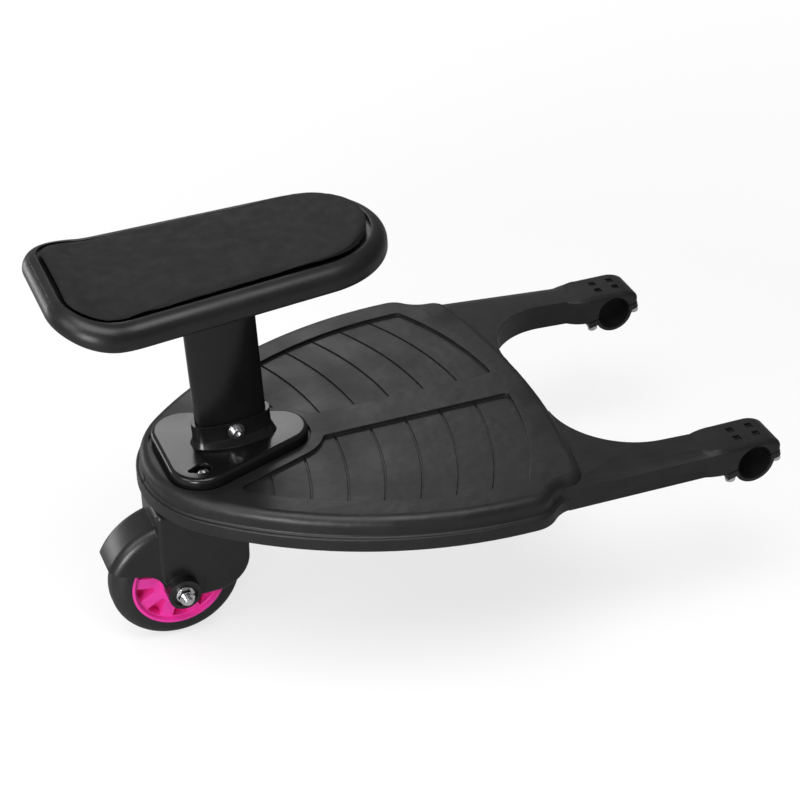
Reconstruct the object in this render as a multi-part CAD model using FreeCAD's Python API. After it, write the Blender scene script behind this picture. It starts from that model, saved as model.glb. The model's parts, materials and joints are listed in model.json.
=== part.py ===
import FreeCAD, Part
import math
import os

# Lengths are in millimetres and angles in degrees. The pieces are modelled with the tread plane at z = 0,
# the swivel axis at x = 0 and the clamps towards +X, and the last step puts the origin on the floor.

# Board: plan of the lip, as arcs from the rear round to the front
BOARD_REAR = -53.0
REAR_RADIUS = 102.5
REAR_SWEEP = 47.0
SIDE_RADIUS = 390.0
SHOULDER_RADIUS = 28.0
SHOULDER_TURN = 45.0
WAIST_RADIUS = 28.0
CORNER_RADIUS = 22.0
FRONT_BOW = 12.6

# Board: section of the rim, and the ribbed underside
RIM_RISE = 3.0
BOARD_DROP = 28.0
ROLL_INSET = 13.0
WALL_INSET = 4.0
RIM_WALL = 3.2
RIM_OVERLAP = 2.0
LIP_HEIGHT = 13.0
LIP_ROUND = 1.5
TOP_THICKNESS = 3.5
RIB_THICKNESS = 2.5
RIB_DROP = 21.0
RIB_SPREAD = 45.0
RIB_PITCH = 60.0
SLOT_WIDTH = 2.5
SLOT_HEIGHT = 8.0

# Tread panels
PANEL_BORDER = 31.0
PANEL_CORNER = 5.0
SPINE_WIDTH = 35.0
GROOVE_BOW_RADIUS = 290.0
GROOVE_FIRST = 53.6
GROOVE_PITCH = 33.8
GROOVE_COUNT = 7
GROOVE_WIDTH = 2.0
GROOVE_DEPTH = 1.2
PANEL_FRONT = 290.0

# Arms
ARM_TOE = 2.6
ARM_SLOPE = 2.9
ARM_TOP_DROP = 3.0
ARM_HEIGHT = 25.0
ARM_INNER = 123.0
ARM_CROTCH_RADIUS = 74.0
ARM_CROTCH_X = 390.0
ARM_ROOT = 14.0
ARM_BEVEL_WIDTH = 11.0
ARM_BEVEL_DEPTH = 4.0
ARM_BEVEL_LEAD = 40.0
ARM_WALL = 3.5
ARM_RIBS = 6

# Clamps
CLAMP_X = 467.5
CLAMP_Y = 138.0
CLAMP_DROP = 30.5
CLAMP_LENGTH = 42.0
CLAMP_TILT = 13.6
CLAMP_BORE_RADIUS = 15.5
LINER_THICKNESS = 1.5
CAP_WALL = 3.2
CLAMP_TOP_DROP = 9.5
CLAMP_SPLIT = 1.5
EAR_REACH = 28.0
EAR_THICKNESS = 5.5
CLAMP_NOSE_RISE = 3.0
CLAMP_NOSE_RADIUS = 6.5
CLAMP_NOSE_TURN = 55.0
CLAMP_CORNER = 5.0
CLAMP_BEVEL = 3.0
CLAMP_FLARE = 24.0
FLARE_STEP = 0.4
CLAMP_BOLT_REACH = 23.2
CLAMP_BOLT_PITCH = 30.0
CLAMP_BOLT_RADIUS = 2.5
CLAMP_HEAD_RADIUS = 4.6
CLAMP_HEAD_HEIGHT = 5.0
INSERT_RADIUS = 3.5
INSERT_LENGTH = 7.5
POCKET_SIZE = 7.0
POCKET_DEPTH = 2.5
POCKET_SHIFT = 2.0
POCKET_PITCH_X = 19.0
POCKET_PITCH_Y = 13.0

# Seat base
PLATE_REAR_X = -4.0
PLATE_REAR_Y = 26.0
PLATE_REAR_RADIUS = 29.0
PLATE_FRONT_X = 75.0
PLATE_FRONT_RADIUS = 26.0
PLATE_HEIGHT = 12.0
PLATE_SKIN = 4.0
PLATE_EDGE = 4.0
PLATE_GAP = 2.5
PLATE_MARGIN = 14.0
COLLAR_WALL = 3.5
COLLAR_HEIGHT = 27.0
COLLAR_FLARE = 4.0
SCREW_PLACES = ((-6.0, -37.0), (44.0, 27.0))
SCREW_RADIUS = 3.0
SCREW_HEAD_RADIUS = 5.5
SCREW_HEAD_HEIGHT = 3.6
SOCKET_SHARE = 1.35
RECESS_RADIUS = 7.5
RECESS_TAIL_RADIUS = 2.5
RECESS_TAIL = 11.0
RECESS_DEPTH = 7.5
SCREW_BOSS_RADIUS = 8.0
SCREW_BOSS_DROP = 14.0

# Seat post
POST_X = 33.0
POST_HALF_LENGTH = 32.0
POST_HALF_WIDTH = 11.0
POST_END_RADIUS = 6.5
POST_WALL = 4.0
SEAT_RAKE = 3.0
LOCK_HEIGHT = 18.0
LOCK_RADIUS = 3.0
LOCK_HEAD_RADIUS = 4.8
LOCK_HEAD_HEIGHT = 4.0
LOCK_WASHER_RADIUS = 7.6

# Seat pan and pad, before the rake is applied
SEAT_REAR = -116.0
SEAT_FRONT = 184.0
SEAT_HALF_WIDTH = 83.0
SEAT_CORNER = 48.0
SEAT_NOSE = 73.0
SEAT_HEIGHT = 198.0
SEAT_RISE = 29.0
SEAT_RISE_LENGTH = 66.0
PAN_DEPTH = 22.5
PAN_LIP = 13.0
PAN_FLOOR = 4.0
PAN_WALL = 6.0
PAN_TOP_ROUND = 13.5
PAN_BOTTOM_ROUND = 5.0
PAN_RIB_PITCH = 60.0
PAD_RECESS = 4.0
PAD_GAP = 1.2
PAD_STAND = 1.2
PAD_CROWN = 3.0
PAD_EDGE = 2.5
SOCKET_WALL = 4.0
PAN_SCREW_PITCH = 34.0
PAN_SCREW_RADIUS = 2.5
PAN_SCREW_HEAD_RADIUS = 4.8
PAN_SCREW_HEAD_HEIGHT = 2.8
PAN_SCREW_LENGTH = 24.0

# Caster: swivel
BOSS_RADIUS = 17.0
BOSS_DROP = 33.0
KINGPIN_RADIUS = 5.0
KINGPIN_HEAD_SIZE = 16.0
KINGPIN_HEAD_HEIGHT = 6.5
NUT_POCKET_RADIUS = 12.5
NUT_POCKET_DEPTH = 15.0
KINGPIN_NUT_HEIGHT = 9.0
WASHER_THICKNESS = 1.6
KINGPIN_WASHER_RADIUS = 10.5
BUSH_WALL = 3.0
BUSH_FLANGE_RADIUS = 13.0
BUSH_FLANGE = 2.0

# Caster: fork and hood
TRAIL = 29.5
AXLE_DROP = 122.0
FORK_HALF_WIDTH = 27.0
FORK_REAR = -48.0
FORK_FRONT = 36.0
FORK_CORNER = 33.0
FORK_EDGE = 5.0
CHEEK_HALF_WIDTH = 24.5
HOOD_RADIUS = 70.0
HOOD_HALF_WIDTH = 23.5
HOOD_END_RISE = 31.0
HOOD_EDGE = 11.0
WELL_RADIUS = 64.5
WELL_HALF_WIDTH = 19.5
CHEEK_SCOOP_RADIUS = 22.0
BOSS_EYE_RADIUS = 15.0
EYE_STAND = 8.0
EYE_BORE_RADIUS = 11.5
EYE_BORE_DEPTH = 2.0

# Caster: wheel
WHEEL_RADIUS = 60.0
TYRE_HALF_WIDTH = 16.5
TYRE_SHOULDER_RADIUS = 49.0
TYRE_BULGE = 0.72
HUB_RADIUS = 43.5
HUB_RIM = 3.5
HUB_DISH = 4.0
HUB_WEB = 3.0
HUB_BOSS_RADIUS = 16.0
HUB_BORE_GAP = 2.0
HUB_POCKETS = 9
HUB_POCKET_INNER = 22.5
HUB_SPOKE = 11.0
HUB_POCKET_ROUND = 1.5
BEARING_RADIUS = 11.0
BEARING_WIDTH = 7.0
AXLE_RADIUS = 4.0
AXLE_NUT_SIZE = 13.0
AXLE_NUT_HEIGHT = 8.0
AXLE_HEAD_HEIGHT = 5.5
AXLE_TIP = 3.5
AXLE_WASHER_RADIUS = 8.2
NUT_HEX_SHARE = 0.7
NUT_COLLAR_SHARE = 0.46
SPACER_WALL = 1.8
AXLE_COLLAR_RADIUS = 7.0

# Clearances
RUN_CLEARANCE = 0.05
SEAT_CLEARANCE = 0.1
SLIDE_CLEARANCE = 0.3
FACE_CLEARANCE = 0.2

# Drawing aids: how far a tool runs past the stock, and when two numbers count as equal
OVERRUN = 5.0
NEAR = 1e-6

# Values that follow from the ones above
SIDES = (("left", 1), ("right", -1))
LINER_RADIUS = CLAMP_BORE_RADIUS + LINER_THICKNESS
FORK_TOP = -(BOSS_DROP + BUSH_FLANGE + WASHER_THICKNESS + 2 * FACE_CLEARANCE)
AXLE_X = -TRAIL
POST_FOOT_Z = PLATE_HEIGHT - PLATE_SKIN
POST_TOP = SEAT_HEIGHT - PAD_RECESS - PAN_FLOOR
UP = FreeCAD.Vector(0, 0, 1)
ACROSS = FreeCAD.Vector(0, 1, 0)


def vec(x, y, z):
    return FreeCAD.Vector(x, y, z)


def mirrored(point):
    return vec(point.x, -point.y, point.z)


def arc(start, middle, end):
    return Part.Arc(start, middle, end).toShape()


def outline(points):
    """Closed wire of straight lines."""
    return Part.makePolygon(list(points) + [points[0]])


def prism(wire, low, high):
    """Flat outline at z = 0 made solid between two heights."""
    solid = Part.Face(wire).extrude(UP * (high - low))
    solid.translate(UP * low)
    return solid


def block(x0, x1, y0, y1, z0, z1):
    return Part.makeBox(x1 - x0, y1 - y0, z1 - z0, vec(x0, y0, z0))


def rod(radius, start, end):
    return Part.makeCylinder(radius, (end - start).Length, start, end - start)


def ring(outer, inner, start, end):
    return rod(outer, start, end).cut(rod(inner, start, end))


def hexagon(size, start, end):
    """Six-sided bar, size across its flats."""
    reach = size / math.sqrt(3)
    corners = [vec(reach * math.cos(k * math.pi / 3), reach * math.sin(k * math.pi / 3), 0) for k in range(6)]
    bar = prism(outline(corners), 0, (end - start).Length)
    bar.Placement = FreeCAD.Placement(start, FreeCAD.Rotation(UP, end - start))
    return bar


def oval(grow):
    """Section of the post as an oval of four arcs, grown all round."""
    half_width = POST_HALF_WIDTH + grow
    end_radius = POST_END_RADIUS + grow
    end_x = POST_HALF_LENGTH - POST_END_RADIUS
    flank = (end_x ** 2 + half_width ** 2 - end_radius ** 2) / (2 * (half_width - end_radius))
    lean = math.atan2(end_x, flank - half_width)
    centre = vec(POST_X, 0, 0)
    join = centre + vec(end_x + end_radius * math.sin(lean), end_radius * math.cos(lean), 0)
    back = vec(2 * POST_X - join.x, join.y, 0)
    reach = vec(end_x + end_radius, 0, 0)
    side = vec(0, half_width, 0)
    return Part.Wire([
        arc(back, centre + side, join),
        arc(join, centre + reach, mirrored(join)),
        arc(mirrored(join), centre - side, mirrored(back)),
        arc(mirrored(back), centre - reach, back),
    ])


def oval_column(grow, low, high):
    return prism(oval(grow), low, high)


def pear(rear_x, rear_radius, front_x, front_radius):
    """Outline round two circles on the X axis."""
    lean = math.asin((rear_radius - front_radius) / (front_x - rear_x))
    rear = vec(rear_x + rear_radius * math.sin(lean), rear_radius * math.cos(lean), 0)
    front = vec(front_x + front_radius * math.sin(lean), front_radius * math.cos(lean), 0)
    return Part.Wire([
        arc(mirrored(rear), vec(rear_x - rear_radius, 0, 0), rear),
        Part.makeLine(rear, front),
        arc(front, vec(front_x + front_radius, 0, 0), mirrored(front)),
        Part.makeLine(mirrored(front), mirrored(rear)),
    ])


def plate_outline(grow):
    """Rounded triangle of the seat base: round two circles at the rear and one at the front."""
    corner = vec(PLATE_REAR_X, PLATE_REAR_Y, 0)
    nose = vec(PLATE_FRONT_X, 0, 0)
    side = nose - corner
    lean = math.asin((PLATE_REAR_RADIUS - PLATE_FRONT_RADIUS) / side.Length)
    turn = math.atan2(side.y, side.x) + math.pi / 2 - lean
    outward = vec(math.cos(turn), math.sin(turn), 0)
    middle = (math.pi + turn) / 2
    rear = PLATE_REAR_RADIUS + grow
    front = PLATE_FRONT_RADIUS + grow
    back = corner - vec(rear, 0, 0)
    bend = corner + vec(math.cos(middle), math.sin(middle), 0) * rear
    side_start = corner + outward * rear
    side_end = nose + outward * front
    return Part.Wire([
        Part.makeLine(mirrored(back), back),
        arc(back, bend, side_start),
        Part.makeLine(side_start, side_end),
        arc(side_end, nose + vec(front, 0, 0), mirrored(side_end)),
        Part.makeLine(mirrored(side_end), mirrored(side_start)),
        arc(mirrored(side_start), mirrored(bend), mirrored(back)),
    ])


def raked(shape):
    """Lean a seat piece back about the foot of the post."""
    shape.rotate(vec(POST_X, 0, POST_FOOT_Z), ACROSS, -SEAT_RAKE)
    return shape


def upright(angle):
    """Unit vector in the X and Z plane at an angle above +X."""
    return vec(math.cos(angle), 0, math.sin(angle))


def edges_where(shape, test):
    return [edge for edge in shape.Edges if test(edge)]


def is_upright(edge):
    box = edge.BoundBox
    return box.XLength < NEAR and box.YLength < NEAR


# Deck


def board_arcs(inset):
    """Arcs of the board's left half from the rear to the front corner, as start, middle and end points."""
    turns = (
        (REAR_RADIUS - inset, -REAR_SWEEP),
        (SIDE_RADIUS - inset, REAR_SWEEP - 90),
        (SHOULDER_RADIUS - inset, -SHOULDER_TURN),
        (WAIST_RADIUS + inset, SHOULDER_TURN - ARM_TOE),
        (CORNER_RADIUS - inset, ARM_TOE + FRONT_BOW - 90),
    )
    point = vec(BOARD_REAR + inset, 0, 0)
    heading = 90.0
    arcs = []
    for radius, turn in turns:
        hand = math.copysign(radius, turn)
        start = math.radians(heading)
        centre = point + vec(-math.sin(start), math.cos(start), 0) * hand
        stops = [math.radians(heading + turn * share) for share in (0.5, 1)]
        middle, end = [centre + vec(math.sin(a), -math.cos(a), 0) * hand for a in stops]
        arcs.append((point, middle, end))
        point = end
        heading += turn
    return arcs


def front_apex(inset):
    """Foremost point of the board between its arms."""
    corner = board_arcs(inset)[-1][2]
    return vec(corner.x + corner.y * math.tan(math.radians(FRONT_BOW / 2)), 0, 0)


def board_outline(inset):
    arcs = board_arcs(inset)
    corner = arcs[-1][2]
    apex = front_apex(inset)
    left = [arc(*points) for points in arcs]
    right = [arc(mirrored(c), mirrored(b), mirrored(a)) for a, b, c in reversed(arcs)]
    return Part.Wire(left + [arc(corner, apex, mirrored(corner))] + right)


def rim_section():
    """Section of the rim at the rear of the board: rolled top, hollow flank and a tall lip at the foot."""
    def at(inset, height):
        return vec(BOARD_REAR + inset, 0, height)

    def bent(start, corner, end):
        """Arc that turns from one point to another near the corner between them."""
        chord = (start + end) / 2
        return arc(start, chord + (corner - chord) * (math.sqrt(2) - 1), end)

    inner = WALL_INSET + RIM_WALL
    overlap = ROLL_INSET + RIM_OVERLAP
    roll_end = at(WALL_INSET, RIM_RISE - (ROLL_INSET - WALL_INSET))
    lip_top = LIP_HEIGHT - BOARD_DROP
    hollow = at(WALL_INSET, lip_top + WALL_INSET - LIP_ROUND)
    shelf = at(LIP_ROUND, lip_top)
    lip_start = at(0, lip_top - LIP_ROUND)
    lip_end = at(0, LIP_ROUND - BOARD_DROP)
    foot = at(LIP_ROUND, -BOARD_DROP)
    return Part.Wire([
        Part.makeLine(at(overlap, RIM_RISE), at(ROLL_INSET, RIM_RISE)),
        bent(at(ROLL_INSET, RIM_RISE), at(WALL_INSET, RIM_RISE), roll_end),
        Part.makeLine(roll_end, hollow),
        bent(hollow, at(WALL_INSET, lip_top), shelf),
        bent(shelf, at(0, lip_top), lip_start),
        Part.makeLine(lip_start, lip_end),
        bent(lip_end, at(0, -BOARD_DROP), foot),
        Part.makeLine(foot, at(inner, -BOARD_DROP)),
        Part.makeLine(at(inner, -BOARD_DROP), at(inner, -TOP_THICKNESS)),
        Part.makeLine(at(inner, -TOP_THICKNESS), at(overlap, -TOP_THICKNESS)),
        Part.makeLine(at(overlap, -TOP_THICKNESS), at(overlap, RIM_RISE)),
    ])


def board_ribs():
    """Lengthwise and crosswise ribs under the tread, inside the rim wall."""
    inside = prism(board_outline(WALL_INSET + RIM_WALL / 2), -RIB_DROP, -TOP_THICKNESS / 2)
    reach = inside.BoundBox
    half = RIB_THICKNESS / 2
    bars = []
    for row in (-2, -1, 0, 1, 2):
        y = row * RIB_SPREAD
        bars.append(block(reach.XMin, reach.XMax, y - half, y + half, reach.ZMin, reach.ZMax))
    for column in range(5):
        x = (column + 0.5) * RIB_PITCH
        bars.append(block(x - half, x + half, reach.YMin, reach.YMax, reach.ZMin, reach.ZMax))
    grid = bars[0].fuse(bars[1:])
    return grid.common(inside)


def panel(hand):
    """Recess of one tread panel: beside the spine, inside the rim and clear of the seat base."""
    half = SPINE_WIDTH / 2
    side_start, _, side_end = board_arcs(0.0)[1]
    centre = vec(side_end.x, hand * (side_end.y - SIDE_RADIUS), 0)
    low, high = 0.0, RIM_RISE + 1
    area = rod(SIDE_RADIUS - PANEL_BORDER, centre, centre + UP * high)
    front = vec(PANEL_FRONT - GROOVE_BOW_RADIUS, 0, 0)
    area = area.common(rod(GROOVE_BOW_RADIUS, front, front + UP * high))
    outer = hand * side_end.y
    near, far = sorted((hand * half, outer))
    area = area.common(block(side_start.x, PANEL_FRONT, near, far, low, high))
    area = area.cut(prism(plate_outline(PLATE_MARGIN), low, high))
    return area.makeFillet(PANEL_CORNER, edges_where(area, is_upright))


def groove(front_x):
    """Shallow arched channel across both panels."""
    centre = vec(front_x - GROOVE_BOW_RADIUS, 0, -GROOVE_DEPTH)
    top = centre + UP * (GROOVE_DEPTH + 0.5)
    return ring(GROOVE_BOW_RADIUS + GROOVE_WIDTH / 2, GROOVE_BOW_RADIUS - GROOVE_WIDTH / 2, centre, top)


def tread_grooves(panels):
    area = panels[0].fuse(panels[1])
    area.translate(UP * -GROOVE_DEPTH)
    channels = [groove(GROOVE_FIRST + k * GROOVE_PITCH) for k in range(GROOVE_COUNT)]
    return [channel.common(area) for channel in channels]


def crotch_arc(grow):
    """Left crotch: arc from the arm's inner face round to the board's front edge, and its two ends."""
    radius = ARM_CROTCH_RADIUS + grow
    centre = vec(ARM_CROTCH_X, ARM_INNER - ARM_CROTCH_RADIUS, 0)
    half = math.sqrt(0.5) * radius
    inner = centre + vec(0, radius, 0)
    foot = centre - vec(radius, 0, 0)
    return arc(inner, centre + vec(-half, half, 0), foot), inner, foot


def arm_outline():
    """Plan of the left arm: outer face in line with the waist, inner face swept into the front edge."""
    waist = board_arcs(0.0)[3][2]
    root_x = waist.x - ARM_ROOT
    root_y = ARM_INNER - ARM_CROTCH_RADIUS / 2 - ARM_WALL
    tip_x = CLAMP_X - EAR_REACH
    crotch, inner, foot = crotch_arc(0.0)
    back_x = min(front_apex(ROLL_INSET).x, foot.x - ARM_WALL)
    outer_tip = vec(tip_x, arm_edge(tip_x), 0)
    inner_tip = vec(tip_x, ARM_INNER, 0)
    root_outer = vec(root_x, waist.y - ARM_BEVEL_DEPTH, 0)
    root = [foot, vec(back_x, foot.y, 0), vec(back_x, root_y, 0), vec(root_x, root_y, 0), root_outer]
    return Part.Wire([
        Part.makeLine(root_outer, waist),
        Part.makeLine(waist, outer_tip),
        Part.makeLine(outer_tip, inner_tip),
        Part.makeLine(inner_tip, inner),
        crotch,
    ] + [Part.makeLine(a, b) for a, b in zip(root, root[1:])])


def arm_channel(start_x, end_x, low, high):
    """Hollow under the left arm, clear of the crotch's thin end."""
    outer = outline([
        vec(start_x, ARM_INNER - ARM_CROTCH_RADIUS / 2, 0),
        vec(end_x, ARM_INNER - ARM_CROTCH_RADIUS / 2, 0),
        vec(end_x, arm_edge(end_x) - ARM_WALL, 0),
        vec(start_x, arm_edge(start_x) - ARM_WALL - ARM_BEVEL_DEPTH, 0),
    ])
    crotch, inner, foot = crotch_arc(ARM_WALL)
    corner = vec(end_x + 1, inner.y, 0)
    keep_out = Part.Wire([
        crotch,
        Part.makeLine(foot, vec(corner.x, foot.y, 0)),
        Part.makeLine(vec(corner.x, foot.y, 0), corner),
        Part.makeLine(corner, inner),
    ])
    return prism(outer, low, high).cut(prism(keep_out, low, high))


def arm_bevel():
    """Wedge taken off the left arm's outer top edge, from inside the rim to the clamp."""
    start_x = board_arcs(0.0)[3][2].x - ARM_BEVEL_LEAD
    start = vec(start_x, arm_edge(start_x), -ARM_TOP_DROP)
    along = vec(CLAMP_X, arm_edge(CLAMP_X), -ARM_TOP_DROP) - start
    inward = vec(along.y, -along.x, 0).normalize() * ARM_BEVEL_WIDTH
    down = UP * -ARM_BEVEL_DEPTH
    wedge = outline([
        start + inward * 1.5 - down * 0.5,
        start - inward * 0.5 + down * 1.5,
        start - inward - down * 2,
    ])
    return Part.Face(wedge).extrude(along)


def arm():
    """Left arm with its bevelled outer edge and the ribbed channel underneath."""
    low = -ARM_TOP_DROP - ARM_HEIGHT
    waist = board_arcs(0.0)[3][2]
    ceiling = -ARM_TOP_DROP - ARM_WALL - ARM_BEVEL_DEPTH / 2
    solid = prism(arm_outline(), low, -ARM_TOP_DROP).cut(arm_bevel())
    end_x = CLAMP_X - EAR_REACH - CLAMP_FLARE
    channel = arm_channel(waist.x - ARM_ROOT + ARM_WALL, end_x, low - 1, ceiling)
    first_x = front_apex(0.0).x + ARM_WALL
    pitch = (end_x - first_x) / ARM_RIBS
    for k in range(ARM_RIBS):
        x = first_x + k * pitch
        channel = channel.cut(block(x, x + RIB_THICKNESS, 0, waist.y, low + ARM_WALL, 0))
    solid = solid.cut(channel)
    solid.rotate(vec(waist.x, 0, -ARM_TOP_DROP), ACROSS, ARM_SLOPE)
    return solid


def clamp_point(along, above, hand, across=0.0):
    """Point in a clamp's own frame: along its split, above the split and across its mid-plane."""
    tilt = math.radians(CLAMP_TILT)
    x = CLAMP_X + along * math.cos(tilt) - above * math.sin(tilt)
    z = -CLAMP_DROP + along * math.sin(tilt) + above * math.cos(tilt)
    return vec(x, hand * CLAMP_Y + across, z)


def clamp_bore(radius, hand):
    half = CLAMP_LENGTH / 2 + 1
    return rod(radius, clamp_point(0, 0, hand, -half), clamp_point(0, 0, hand, half))


def clamp_bolt_places():
    half = CLAMP_BOLT_PITCH / 2
    return [(along, across) for along in (-CLAMP_BOLT_REACH, CLAMP_BOLT_REACH) for across in (-half, half)]


def clamp_slab(profile):
    """Clamp profile made solid over the clamp's length."""
    return Part.Face(profile).extrude(ACROSS * CLAMP_LENGTH)


def arm_edge(x):
    """Distance of an arm's outer face from the board's mid-plane."""
    waist = board_arcs(0.0)[3][2]
    return waist.y - math.tan(math.radians(ARM_TOE)) * (x - waist.x)


def arm_fall(x):
    """Height that an arm has lost at one place along it."""
    return math.tan(math.radians(ARM_SLOPE)) * (x - board_arcs(0.0)[3][2].x)


def clamp_flare(hand):
    """Smooth widening of an arm into its clamp, through sections with bevelled top edges."""
    end = clamp_point(-EAR_REACH, CLAMP_SPLIT / 2, hand)
    start_x = end.x - CLAMP_FLARE
    fall = arm_fall(start_x) + ARM_TOP_DROP
    half = CLAMP_LENGTH / 2
    first = (ARM_INNER + FLARE_STEP, arm_edge(start_x) - FLARE_STEP, -fall - ARM_HEIGHT + FLARE_STEP,
             -fall - FLARE_STEP, FLARE_STEP, ARM_BEVEL_WIDTH, ARM_BEVEL_DEPTH)
    last = (CLAMP_Y - half, CLAMP_Y + half, end.z, -CLAMP_TOP_DROP, CLAMP_BEVEL, CLAMP_BEVEL, CLAMP_BEVEL)

    def section(share):
        ease = share * (2 - share)
        inner, outer, low, high, inner_bevel, width, depth = [a + (b - a) * ease for a, b in zip(first, last)]
        x = start_x + share * CLAMP_FLARE
        return outline([
            vec(x, hand * inner, low), vec(x, hand * outer, low), vec(x, hand * outer, high - depth),
            vec(x, hand * (outer - width), high), vec(x, hand * (inner + inner_bevel), high),
            vec(x, hand * inner, high - inner_bevel)])

    return Part.makeLoft([section(k / 4) for k in range(5)], True, False)


def upper_clamp(hand):
    """Upper clamp half at the end of an arm, with blind holes for the inserts and shallow top pockets."""
    near = -CLAMP_LENGTH / 2
    gap = CLAMP_SPLIT / 2
    top = -CLAMP_TOP_DROP
    rear = clamp_point(-EAR_REACH, gap, hand, near)
    front = clamp_point(EAR_REACH, gap, hand, near)
    brow = front + UP * CLAMP_NOSE_RISE
    back = vec(rear.x, rear.y, top)
    turn = math.radians(CLAMP_NOSE_TURN)
    rise = CLAMP_NOSE_RADIUS * math.sin(turn)
    crown = (top - brow.z - rise) / (1 - math.sin(turn))
    low_centre = brow - vec(CLAMP_NOSE_RADIUS, 0, 0)
    knee = low_centre + upright(turn) * CLAMP_NOSE_RADIUS
    high_centre = knee - upright(turn) * crown
    crest = high_centre + UP * crown
    solid = clamp_slab(Part.Wire([
        Part.makeLine(rear, front),
        Part.makeLine(front, brow),
        arc(brow, low_centre + upright(turn / 2) * CLAMP_NOSE_RADIUS, knee),
        arc(knee, high_centre + upright(turn / 2 + math.pi / 4) * crown, crest),
        Part.makeLine(crest, back),
        Part.makeLine(back, rear),
    ]))

    def is_rim(edge):
        box = edge.BoundBox
        return box.YLength < NEAR and box.ZMax > brow.z - NEAR and box.XMax > rear.x + 1

    solid = solid.makeFillet(CLAMP_CORNER, edges_where(solid, is_rim)).fuse(clamp_flare(hand))
    solid = solid.cut(clamp_bore(LINER_RADIUS, hand))
    for along, across in clamp_bolt_places():
        foot = clamp_point(along, 0, hand, across)
        solid = solid.cut(rod(INSERT_RADIUS, foot, clamp_point(along, gap + INSERT_LENGTH, hand, across)))
    half = POCKET_SIZE / 2
    for step_x in (-0.5, 0.5):
        for step_y in (-0.5, 0.5):
            x = CLAMP_X - POCKET_SHIFT + step_x * POCKET_PITCH_X
            y = hand * CLAMP_Y + step_y * POCKET_PITCH_Y
            pocket = block(x - half, x + half, y - half, y + half, top - POCKET_DEPTH, top + POCKET_DEPTH)
            solid = solid.cut(pocket)
    return solid


def deck():
    """Moulded board with its arms and upper clamp halves."""
    rim = board_outline(0.0).makePipeShell([rim_section()], True, False)
    top = prism(board_outline(ROLL_INSET), -TOP_THICKNESS, RIM_RISE)
    boss = rod(BOSS_RADIUS, vec(0, 0, -BOSS_DROP), vec(0, 0, 0))
    studs = []
    for x, y in SCREW_PLACES:
        place = vec(x, y, 0)
        studs.append(rod(SCREW_BOSS_RADIUS, place - UP * SCREW_BOSS_DROP, place))
    left_arm = arm()
    right_arm = left_arm.mirror(vec(0, 0, 0), ACROSS)
    clamps = [upper_clamp(hand) for _, hand in SIDES]
    solid = rim.fuse([top, board_ribs(), boss, left_arm, right_arm] + studs + clamps)
    panels = [panel(hand) for _, hand in SIDES]
    cuts = panels + tread_grooves(panels)
    cuts.append(prism(plate_outline(PLATE_GAP), 0, RIM_RISE + 1))
    cuts.append(rod(NUT_POCKET_RADIUS, vec(0, 0, -NUT_POCKET_DEPTH), vec(0, 0, 1)))
    cuts.append(rod(KINGPIN_RADIUS + BUSH_WALL, vec(0, 0, -BOSS_DROP - 1), vec(0, 0, 0)))
    for x, y in SCREW_PLACES:
        place = vec(x, y, 0)
        cuts.append(rod(SCREW_RADIUS + SEAT_CLEARANCE, place - UP * BOARD_DROP, place + UP))
    slot = block(BOARD_REAR, BOARD_REAR + WALL_INSET + 1, -SLOT_WIDTH / 2, SLOT_WIDTH / 2,
                 LIP_HEIGHT - BOARD_DROP, LIP_HEIGHT - BOARD_DROP + SLOT_HEIGHT)
    cuts.append(slot)
    return solid.cut(cuts).removeSplitter()


# Clamps


def clamp_cap(hand):
    """Lower clamp half: a half ring with a bolted ear on each side."""
    near = -CLAMP_LENGTH / 2
    gap = -CLAMP_SPLIT / 2
    ears = clamp_slab(outline([
        clamp_point(-EAR_REACH, gap, hand, near),
        clamp_point(EAR_REACH, gap, hand, near),
        clamp_point(EAR_REACH, gap - EAR_THICKNESS, hand, near),
        clamp_point(-EAR_REACH, gap - EAR_THICKNESS, hand, near),
    ]))
    half = CLAMP_LENGTH / 2
    shell = LINER_RADIUS + CAP_WALL
    belly = rod(shell, clamp_point(0, 0, hand, -half), clamp_point(0, 0, hand, half))
    below = clamp_slab(outline([
        clamp_point(-shell, gap, hand, near),
        clamp_point(shell, gap, hand, near),
        clamp_point(shell, -shell - 1, hand, near),
        clamp_point(-shell, -shell - 1, hand, near),
    ]))
    solid = ears.fuse(belly.common(below)).cut(clamp_bore(LINER_RADIUS, hand))

    def is_ear_corner(edge):
        points = [vertex.Point for vertex in edge.Vertexes]
        level = abs(points[0].y - points[-1].y) < NEAR
        return level and edge.Length < EAR_THICKNESS + NEAR and edge.BoundBox.XMin > CLAMP_X + LINER_RADIUS

    solid = solid.makeFillet(CLAMP_CORNER, edges_where(solid, is_ear_corner))
    for along, across in clamp_bolt_places():
        low = clamp_point(along, -shell, hand, across)
        seat = clamp_point(along, gap - EAR_THICKNESS, hand, across)
        high = clamp_point(along, 0, hand, across)
        solid = solid.cut([rod(CLAMP_BOLT_RADIUS + SEAT_CLEARANCE, low, high),
                           rod(CLAMP_HEAD_RADIUS + SLIDE_CLEARANCE, low, seat)])
    return solid.removeSplitter()


def clamp_liner(hand, upper):
    """Rubber half shell inside a clamp half."""
    half = CLAMP_LENGTH / 2
    ends = [clamp_point(0, 0, hand, side * half) for side in (-1, 1)]
    sleeve = ring(LINER_RADIUS, CLAMP_BORE_RADIUS, ends[0], ends[1])
    gap = CLAMP_SPLIT / 2 if upper else -CLAMP_SPLIT / 2
    reach = LINER_RADIUS + 1
    far = reach if upper else -reach
    keep = clamp_slab(outline([
        clamp_point(-reach, gap, hand, -half),
        clamp_point(reach, gap, hand, -half),
        clamp_point(reach, far, hand, -half),
        clamp_point(-reach, far, hand, -half),
    ]))
    return sleeve.common(keep)


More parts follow.
